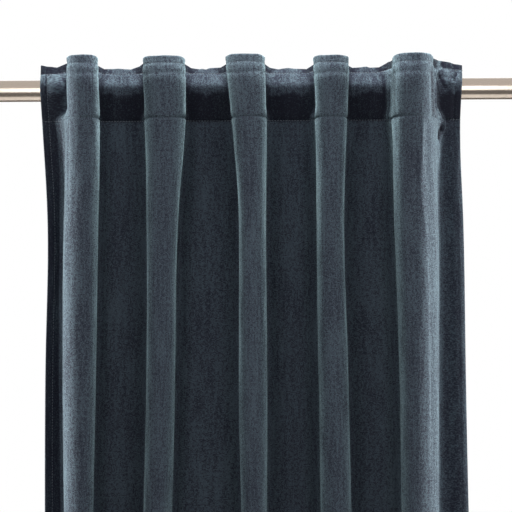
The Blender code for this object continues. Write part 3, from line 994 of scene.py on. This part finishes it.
def turned_along_x(name, profile, sides):
    """A closed turned shape from a profile of x and radius, which starts and ends on the axis."""
    points, rings = [], []
    for x, radius in profile:
        if radius == 0:
            rings.append([len(points)] * sides)
            points.append((x, 0.0, 0.0))
            continue
        rings.append(list(range(len(points), len(points) + sides)))
        for side in range(sides):
            turn = 2 * pi * side / sides
            points.append((x, radius * cos(turn), radius * sin(turn)))
    faces = []
    for ring, after in zip(rings, rings[1:]):
        for side in range(sides):
            beside = (side + 1) % sides
            corners = [ring[side], ring[beside], after[beside], after[side]]
            faces.append(list(dict.fromkeys(corners)))
    mesh = bpy.data.meshes.new(name)
    mesh.from_pydata(points, [], faces)
    mesh.shade_smooth()
    mesh.set_sharp_from_angle(angle=radians(40))
    return mesh


rod_low, rod_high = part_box("rod")
right_end = rod_profile(rod_high[0])
left_end = [(-x, radius) for x, radius in reversed(right_end)]
rod_tube = add_piece("rod_tube", turned_along_x("rod_tube", right_end + left_end, ROD_SIDES))
print("rod from", rod_low[0], "to", rod_high[0], "with", triangle_count(rod_tube), "triangles")

# %% [markdown]
# ## Materials: a small way to write shader maths
# Node trees are easier to read as formulas. A Value wraps one socket and overloads the plain
# operators, so that an expression adds its Math nodes. Any other node comes from one method, which
# takes its type, its settings and the values or links of its sockets. The materials, the world and
# the stitches all use it.

# %% Shader helpers


class Value:
    """One output socket of a node tree, with plain maths on it."""

    def __init__(self, nodes, socket):
        self.nodes = nodes
        self.socket = socket

    def maths(self, operation, *terms):
        values = dict(enumerate(terms))
        return self.nodes.node("ShaderNodeMath", {"operation": operation}, values)

    def __add__(self, other):
        return self.maths("ADD", self, other)

    __radd__ = __add__

    def __mul__(self, other):
        return self.maths("MULTIPLY", self, other)

    __rmul__ = __mul__

    def __sub__(self, other):
        return self.maths("SUBTRACT", self, other)

    def __rsub__(self, other):
        return self.maths("SUBTRACT", other, self)


class Nodes:
    """A node tree that is being filled."""

    def __init__(self, tree):
        self.tree = tree
        tree.nodes.clear()

    def node(self, kind, settings=None, values=None, output=0):
        """A new node of this kind, with its settings made first and then its sockets filled."""
        made = self.tree.nodes.new(kind)
        for name, setting in (settings or {}).items():
            setattr(made, name, setting)
        for name, value in (values or {}).items():
            if isinstance(value, Value):
                self.tree.links.new(value.socket, made.inputs[name])
            else:
                made.inputs[name].default_value = value
        return Value(self, made.outputs[output]) if made.outputs else None


class Finish(Nodes):
    """The node tree of a material or a world."""

    def __init__(self, owner):
        self.owner = owner
        owner.use_nodes = True
        super().__init__(owner.node_tree)

    def pattern(self, kind, place, scale, settings=None, **values):
        """A noise or other texture on a place that is first stretched by scale along each axis."""
        mapped = self.node("ShaderNodeMapping", None, {"Vector": place, "Scale": scale})
        return self.node(kind, settings, {"Vector": mapped, **values})

    def mix_colour(self, factor, first, second):
        values = {0: factor, 6: first, 7: second}
        return self.node("ShaderNodeMix", {"data_type": "RGBA"}, values, output=2)

    def close(self, shader, kind="ShaderNodeOutputMaterial"):
        self.node(kind, None, {"Surface": shader})
        return self.owner


def new_finish(name):
    return Finish(bpy.data.materials.new(name))


# %% [markdown]
# ## Velvet
# Velvet is dark face on and bright where it is seen or lit at a low angle, because its short pile
# stands up from the cloth. The shader's sheen does that. The pile never lies quite even: four noises,
# from fine grain to long streaks and broad clouds, mix a shader for pile that lies down with one for
# pile that stands up, and the same noises tilt the surface a little through a bump. The painted shade
# that the cloth carries darkens the colour and pushes the same mix towards the dull pile.

# %% Velvet
VELVET_DEEP = (0.021, 0.0225, 0.036, 1.0)
VELVET_LIGHT = (0.056, 0.072, 0.094, 1.0)
# The colour of the painted shade, where the lamps leave the velvet dark.
VELVET_PAINTED_SHADE = (0.0075, 0.0075, 0.014, 1.0)
SHEEN_TINT = (0.56, 0.81, 0.88, 1.0)
# The sheen of the dull pile, taken where the noises or the painted shade call for it.
FLAT_PILE_AND_SHADE_SHEEN = 0.03
RAISED_SHEEN = 0.64


def velvet_finish():
    finish = new_finish("slate velvet")
    flat = finish.node("ShaderNodeUVMap", {"uv_map": "flat cloth in metres"})
    fine = finish.pattern("ShaderNodeTexNoise", flat, (1, 0.7, 1), None, Scale=950.0, Detail=2.0)
    grain = finish.pattern("ShaderNodeTexNoise", flat, (1, 0.55, 1), None, Scale=420.0, Detail=3.0)
    streaks = finish.pattern("ShaderNodeTexNoise", flat, (1, 0.10, 1), None, Scale=260.0, Detail=2.0)
    clouds = finish.pattern("ShaderNodeTexNoise", flat, (1, 0.35, 1), None, Scale=34.0, Detail=3.0)
    uneven = (fine - 0.5) * 3.2 + (grain - 0.5) * 1.8 + (streaks - 0.5) + (clouds - 0.5)
    # The painted shade from the cloth's points darkens the colour and dulls the sheen.
    painted_shade = finish.node("ShaderNodeAttribute", {"attribute_name": "painted shade"}, output="Fac")
    raised_less_shade = finish.node("ShaderNodeClamp", None, {"Value": uneven + 0.5 - painted_shade * 0.7})
    uneven_and_shaded_colour = finish.mix_colour(raised_less_shade, VELVET_DEEP, VELVET_LIGHT)
    colour = finish.mix_colour(painted_shade, uneven_and_shaded_colour, VELVET_PAINTED_SHADE)
    height = fine * 0.15 + grain * 0.17 + streaks * 0.15 + clouds * 0.7
    bump = finish.node("ShaderNodeBump", None, {"Strength": 1.0, "Distance": 0.0020, "Height": height})

    def pile(sheen):
        return finish.node("ShaderNodeBsdfPrincipled", None, {
            "Base Color": colour,
            "Roughness": 0.85,
            "Specular IOR Level": 0.15,
            "Sheen Weight": sheen,
            "Sheen Roughness": 0.60,
            "Sheen Tint": SHEEN_TINT,
            "Normal": bump,
        })

    both = {0: raised_less_shade, 1: pile(FLAT_PILE_AND_SHADE_SHEEN), 2: pile(RAISED_SHEEN)}
    return finish.close(finish.node("ShaderNodeMixShader", None, both))


# %% [markdown]
# ## The back of the velvet
# Behind, the cloth shows its plain ground weave. The turned heading and hems show pile again, because
# it is the face that is folded over. The weave is two sets of ridges that cross.

# %% Ground weave, thread and steel
WEAVE_PITCH = 0.0011
WAVE_UNITS = 20


def weave_finish():
    finish = new_finish("velvet ground weave")
    flat = finish.node("ShaderNodeUVMap", {"uv_map": "flat cloth in metres"})
    sizes = {"Scale": 2 * pi / WEAVE_PITCH / WAVE_UNITS, "Distortion": 1.0}
    waves = {"wave_type": "BANDS", "wave_profile": "SIN"}
    across, down = (
        finish.pattern("ShaderNodeTexWave", flat, (1, 1, 1), {**waves, "bands_direction": way}, **sizes)
        for way in ("X", "Y")
    )
    uneven = finish.pattern("ShaderNodeTexNoise", flat, (1, 0.2, 1), None, Scale=260.0, Detail=3.0)
    weave = across * 0.4 + down * 0.4 + uneven * 0.4
    colour = finish.mix_colour(weave, (0.030, 0.038, 0.048, 1.0), (0.075, 0.090, 0.108, 1.0))
    bump = finish.node("ShaderNodeBump", None, {"Strength": 0.6, "Distance": 0.0003, "Height": weave})
    shader = finish.node("ShaderNodeBsdfPrincipled", None, {
        "Base Color": colour,
        "Roughness": 0.9,
        "Specular IOR Level": 0.25,
        "Sheen Weight": 0.15,
        "Normal": bump,
    })
    return finish.close(shader)


def thread_finish():
    finish = new_finish("slate sewing thread")
    place = finish.node("ShaderNodeTexCoord", output="Object")
    twist = finish.pattern("ShaderNodeTexNoise", place, (1, 1, 1), None, Scale=1500.0, Detail=2.0)
    colour = finish.mix_colour(twist, (0.10, 0.12, 0.14, 1.0), (0.19, 0.22, 0.25, 1.0))
    bump = finish.node("ShaderNodeBump", None, {"Strength": 0.5, "Distance": 0.0002, "Height": twist})
    values = {"Base Color": colour, "Roughness": 0.55, "Sheen Weight": 0.2, "Normal": bump}
    return finish.close(finish.node("ShaderNodeBsdfPrincipled", None, values))


def steel_finish():
    """Steel that was brushed along its length, which leaves fine lines and a soft reflection."""
    finish = new_finish("satin steel")
    place = finish.node("ShaderNodeTexCoord", output="Object")
    lines = finish.pattern("ShaderNodeTexNoise", place, (0.02, 1, 1), None, Scale=2200.0, Detail=3.0)
    clouds = finish.pattern("ShaderNodeTexNoise", place, (0.15, 1, 1), None, Scale=60.0, Detail=2.0)
    colour = finish.mix_colour(lines * 0.6 + clouds * 0.4, (0.54, 0.45, 0.37, 1.0), (0.66, 0.57, 0.49, 1.0))
    roughness = 0.16 + lines * 0.12
    bump = finish.node("ShaderNodeBump", None, {"Strength": 0.25, "Distance": 0.00008, "Height": lines})
    values = {"Base Color": colour, "Metallic": 1.0, "Roughness": roughness, "Normal": bump}
    return finish.close(finish.node("ShaderNodeBsdfPrincipled", None, values))


velvet, weave, thread, steel = velvet_finish(), weave_finish(), thread_finish(), steel_finish()
print("materials:", [made.name for made in (velvet, weave, thread, steel)])

# %% Give each piece its finish


def finish_back(piece, across, below, shows_weave):
    """The back's faces take the second material wherever shows_weave says so."""
    rows, columns = len(below) - 1, len(across) - 1
    middle_across = (across[1:] + across[:-1]) / 2
    middle_below = (below[1:] + below[:-1]) / 2
    back = np.broadcast_to(shows_weave(middle_across[None, :], middle_below[:, None]), (rows, columns))
    slots = np.concatenate([np.zeros(rows * columns), back.ravel()]).astype(np.int32)
    piece.data.polygons.foreach_set("material_index", slots)


def panel_back(across, below):
    from_side = np.minimum(across, ACROSS[-1] - across)
    beside_hem = from_side > SIDE_STITCH + STEP_WIDTH
    return beside_hem & (below > HEADING + STEP_WIDTH) & (below < DROP - BOTTOM_HEM - STEP_WIDTH)


curtain_cloth.data.materials.append(velvet)
curtain_cloth.data.materials.append(weave)
finish_back(curtain_cloth, ACROSS, BELOW, panel_back)
for strip in tab_strips:
    strip.data.materials.append(velvet)
rod_tube.data.materials.append(steel)
print("faces of the ground weave:", sum(face.material_index for face in curtain_cloth.data.polygons))

# %% [markdown]
# ## Stitches
# A sewing machine leaves the same small stitch over and over along a line, so Geometry Nodes make them:
# a line on the cloth becomes a curve, the curve is cut into steps of one stitch, and a small rounded
# stitch is set at each step, turned along the line. The tree's sizes are named inputs.

# %% A tree that sews along a line
STITCH_PITCH = 0.0037
STITCH_LENGTH = 0.0030
STITCH_WIDTH = 0.0006


def sewing_tree(name):
    tree = bpy.data.node_groups.new(name, "GeometryNodeTree")
    sockets = {
        "Line": "Geometry", "Pitch": "Float", "Stitch length": "Float", "Stitch width": "Float",
        "Seed": "Int", "Thread": "Material",
    }
    for socket, kind in sockets.items():
        tree.interface.new_socket(socket, in_out="INPUT", socket_type="NodeSocket" + kind)
    tree.interface.new_socket("Stitches", in_out="OUTPUT", socket_type="NodeSocketGeometry")
    sewing = Nodes(tree)
    inputs = tree.nodes.new("NodeGroupInput").outputs
    given = {socket: Value(sewing, inputs[socket]) for socket in sockets}
    curve = sewing.node("GeometryNodeMeshToCurve", None, {"Mesh": given["Line"]})
    steps = sewing.node(
        "GeometryNodeResampleCurve", {"mode": "LENGTH"}, {"Curve": curve, "Length": given["Pitch"]}
    )
    tangent = sewing.node("GeometryNodeInputTangent")
    turned = sewing.node("FunctionNodeAlignRotationToVector", {"axis": "X"}, {"Vector": tangent})
    ball = sewing.node("GeometryNodeMeshUVSphere", None, {"Segments": 6, "Rings": 4, "Radius": 0.5})
    length, width = given["Stitch length"], given["Stitch width"]
    size = sewing.node("ShaderNodeCombineXYZ", None, {"X": length, "Y": width, "Z": width})
    stitch = sewing.node("GeometryNodeTransform", None, {"Geometry": ball, "Scale": size})
    # The random value's second output is the one for plain numbers.
    values = {"Seed": given["Seed"], "Min": 0.88, "Max": 1.08}
    uneven = sewing.node("FunctionNodeRandomValue", {"data_type": "FLOAT"}, values, output=1)
    values = {"Points": steps, "Instance": stitch, "Rotation": turned, "Scale": uneven}
    sewn = sewing.node("GeometryNodeInstanceOnPoints", None, values)
    real = sewing.node("GeometryNodeRealizeInstances", None, {"Geometry": sewn})
    coloured = sewing.node("GeometryNodeSetMaterial", None, {"Geometry": real, "Material": given["Thread"]})
    sewing.node("NodeGroupOutput", None, {"Stitches": coloured})
    return tree


def sew(name, lines, seed):
    """Stitches along several lines of points, as one plain mesh."""
    points, edges = [], []
    for line in lines:
        edges.extend((len(points) + i, len(points) + i + 1) for i in range(len(line) - 1))
        points.extend(line)
    guide_mesh = bpy.data.meshes.new(name + "_line")
    guide_mesh.from_pydata([tuple(map(float, point)) for point in points], edges, [])
    guide = add_piece(name + "_line", guide_mesh)
    sewing = guide.modifiers.new("sewing", "NODES")
    sewing.node_group = sewing_tree(name + " tree")
    sizes = {
        "Pitch": STITCH_PITCH,
        "Stitch length": STITCH_LENGTH,
        "Stitch width": STITCH_WIDTH,
        "Seed": seed,
        "Thread": thread,
    }
    for socket in sewing.node_group.interface.items_tree:
        if socket.name in sizes:
            sewing[socket.identifier] = sizes[socket.name]
    evaluated = guide.evaluated_get(bpy.context.evaluated_depsgraph_get())
    mesh = bpy.data.meshes.new_from_object(evaluated)
    bpy.data.objects.remove(guide)
    mesh.name = name
    mesh.shade_smooth()
    return add_piece(name, mesh)


# %% Lines on the curtain and the tabs
THREAD_STANDS = 0.00030
THREAD_SINKS = 0.00050
SIDE_THREAD_SINKS = 0.00035
TAB_STITCHES = (0.0015, 0.0035)


def line_at(rows, columns, on_back=False, sunk=0.0):
    """A line of points just off the cloth's face, or off its back, less how far the thread sinks in."""
    on_column = smooth_step((LIFTED - 0.3) / 0.3)
    depth = THREAD_STANDS - THREAD_SINKS * on_column - sunk
    if on_back:
        depth = -panel_thickness() - THREAD_STANDS + sunk
    points = FACE + NORMALS * depth[:, :, None]
    return points[rows, columns]


def nearest(values, wanted):
    return int(np.abs(values - wanted).argmin())


def panel_lines(on_back):
    """The heading's two stitch lines, the side hems' and the bottom hem's."""
    inside = slice(3, -3)
    down = slice(nearest(BELOW, FRILL) + 2, -3)
    across_lines = [
        line_at(nearest(BELOW, below), inside, on_back) for below in (FRILL, HEADING, DROP - BOTTOM_HEM)
    ]
    side_lines = [
        line_at(down, nearest(ACROSS, place), on_back, SIDE_THREAD_SINKS)
        for place in (SIDE_STITCH, ACROSS[-1] - SIDE_STITCH)
    ]
    return across_lines, side_lines


def tab_lines():
    """Two short rows of stitches near each end of every tab."""
    lines = []
    for centre in tab_centres():
        face, normals, across, down = tab_grid(centre)
        for place in (*TAB_STITCHES, *(TAB_LENGTH - near for near in reversed(TAB_STITCHES))):
            row = nearest(down, place)
            lines.append((face + normals * THREAD_STANDS)[row, 4:-4])
    return lines


front_across, front_sides = panel_lines(False)
back_across, back_sides = panel_lines(True)
heading_stitches = sew("heading_stitches", front_across, 5)
side_hem_stitches = sew("side_hem_stitches", front_sides, 6)
back_stitches = sew("back_stitches", back_across + back_sides, 7)
tab_stitches = sew("tab_stitches", tab_lines(), 8)
all_stitches = [heading_stitches, side_hem_stitches, back_stitches, tab_stitches]
for sewn in all_stitches:
    print(sewn.name, "triangles:", triangle_count(sewn))

# %% [markdown]
# ## The studio
# A pale floor lies just under the hem. The camera sees the world as plain white and the steel mirrors a
# bright room, while the light that the world gives to the cloth is dim. Softboxes do the rest: a wide
# one high in front, two lower ones to the left and right in front, one on each side a little behind
# the curtain that brushes along the pile, one above that lights the cloth where it goes over the rod,
# a weak one behind, and two narrow strips in front that give the rod its highlights.

# %% World and floor
FLOOR_LEVEL = -2.375
WORLD_LIGHT = 0.12
WORLD_MIRRORED = 0.75
FLOOR_MIRRORED = 0.21
FLOOR_FADES_AT = -0.35
FLOOR_HALF = 1.1
WHITE = (1.0, 1.0, 1.0, 1.0)
DIM_BLUE = (0.93, 0.96, 1.0, 1.0)


def add_world():
    studio = Finish(bpy.data.worlds.new("studio"))

    def background(colour, strength):
        return studio.node("ShaderNodeBackground", None, {"Color": colour, "Strength": strength})

    way = studio.node("ShaderNodeTexCoord", output="Generated")
    height = studio.node("ShaderNodeSeparateXYZ", None, {0: way}, output="Z")
    limits = {"From Min": FLOOR_FADES_AT, "To Min": FLOOR_MIRRORED, "From Max": 0.0}
    limits = {"Value": height, "To Max": WORLD_MIRRORED, **limits}
    mirrored = studio.node("ShaderNodeMapRange", None, limits)
    seen = background(DIM_BLUE, WORLD_LIGHT)
    rays = {"Is Glossy Ray": background(WHITE, mirrored), "Is Camera Ray": background(WHITE, 1.0)}
    for ray, other in rays.items():
        is_ray = studio.node("ShaderNodeLightPath", output=ray)
        seen = studio.node("ShaderNodeMixShader", None, {0: is_ray, 1: seen, 2: other})
    bpy.context.scene.world = studio.close(seen, "ShaderNodeOutputWorld")


def add_floor():
    corners = [(FLOOR_HALF * x, FLOOR_HALF * y) for x, y in ((-1, -1), (1, -1), (1, 1), (-1, 1))]
    mesh = bpy.data.meshes.new("floor")
    mesh.from_pydata([(x, y, FLOOR_LEVEL) for x, y in corners], [], [(0, 1, 2, 3)])
    floor = add_piece("floor", mesh)
    finish = new_finish("pale floor")
    place = finish.node("ShaderNodeTexCoord", output="Object")
    clouds = finish.pattern("ShaderNodeTexNoise", place, (1, 1, 1), None, Scale=3.0, Detail=2.0)
    colour = finish.mix_colour(clouds, (0.80, 0.80, 0.79, 1.0), (0.84, 0.84, 0.83, 1.0))
    values = {"Base Color": colour, "Roughness": 0.7}
    floor.data.materials.append(finish.close(finish.node("ShaderNodeBsdfPrincipled", None, values)))


add_world()
add_floor()
print("world:", bpy.context.scene.world.name, "floor at", FLOOR_LEVEL)

# %% Softboxes


def add_softbox(name, place, aim, width, height, radiance):
    """A rectangular light that shines evenly; its power follows from its area and its brightness."""
    lamp = bpy.data.lights.new(name, "AREA")
    lamp.shape = "RECTANGLE"
    lamp.size = width
    lamp.size_y = height
    lamp.energy = radiance * pi * width * height
    box = bpy.data.objects.new(name, lamp)
    bpy.context.scene.collection.objects.link(box)
    turn = (Vector(aim) - Vector(place)).to_track_quat("-Z", "Y").to_matrix().to_4x4()
    box.matrix_world = Matrix.Translation(place) @ turn
    box.visible_camera = False
    return box


# Each softbox stands round the curtain: degrees to the right of the room's side, degrees up, its
# distance, width and height in metres, and its brightness.
AIM = Vector((0.0, -0.05, -0.25))
SOFTBOXES = (
    ("high front softbox", 0, 52, 1.9, 2.2, 0.9, 3.4),
    ("left front softbox", -65, 0, 1.8, 0.5, 2.2, 1.0),
    ("right front softbox", 65, 0, 1.8, 0.5, 2.2, 2.4),
    ("left softbox", -97, 0, 1.8, 0.4, 2.2, 27.0),
    ("right softbox", 97, 0, 1.8, 0.4, 2.2, 25.0),
    ("top softbox", 0, 100, 1.2, 0.75, 0.5, 36.0),
    ("back softbox", 180, 10, 2.6, 1.6, 2.4, 1.0),
)


def place_round(turn, rise, distance):
    turn, rise = radians(turn), radians(rise)
    return AIM + distance * Vector((sin(turn) * cos(rise), -cos(turn) * cos(rise), sin(rise)))


softboxes = [
    add_softbox(name, place_round(turn, rise, distance), AIM, width, height, radiance)
    for name, turn, rise, distance, width, height, radiance in SOFTBOXES
]
for box in softboxes:
    box.visible_glossy = box.name not in ("top softbox", "high front softbox")
# A narrow strip in front of each bare end of the rod.
STRIP = {"width": 0.22, "height": 0.9, "radiance": 3.0}
for name, side in (("left strip", -1), ("right strip", 1)):
    softboxes.append(add_softbox(name, (side * 0.36, -1.2, 0.12), (side * 0.34, 0.0, 0.0), **STRIP))
bpy.context.scene.view_settings.view_transform = "Standard"
print("softboxes:", [box.name for box in softboxes])

# %% [markdown]
# ## Join the pieces to the model
# Each piece rides on the model's one body, and the plain solids that the finer pieces stand for are
# hidden.

# %% Ride, and hide the plain solids
for piece in [curtain_cloth, rod_tube, *tab_strips, *all_stitches]:
    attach(piece, "root")
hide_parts("curtain_panel")
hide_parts("rod")
for number, strip in enumerate(tab_strips, start=1):
    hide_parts(f"back_tab_{number}")
